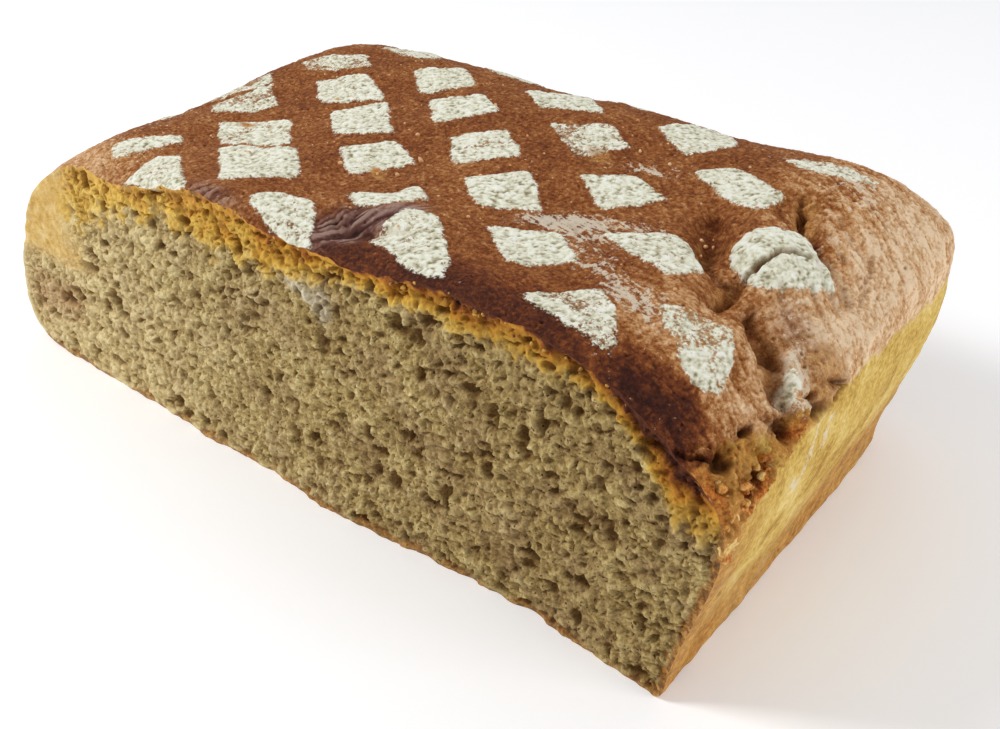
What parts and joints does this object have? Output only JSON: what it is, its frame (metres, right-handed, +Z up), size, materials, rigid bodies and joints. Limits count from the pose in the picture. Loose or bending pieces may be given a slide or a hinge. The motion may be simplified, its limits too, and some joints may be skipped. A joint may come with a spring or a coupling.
{
  "type": "rye bread",
  "caption": "Half of a rye block loaf cut lengthways, with a domed crust, a torn corner and an open-pored cut face, lying on its flat base.",
  "frame": {"origin": "middle of the loaf's footprint, on the flat base", "axes": "+X along the loaf towards its torn end, +Y from the cut face towards the back crust, +Z up"},
  "size_m": [0.2656, 0.1358, 0.0888],
  "materials": {
    "crust": "matte, baked"
  },
  "bodies": {
    "root": {"loaf": "crust"}
  },
  "joints": []
}
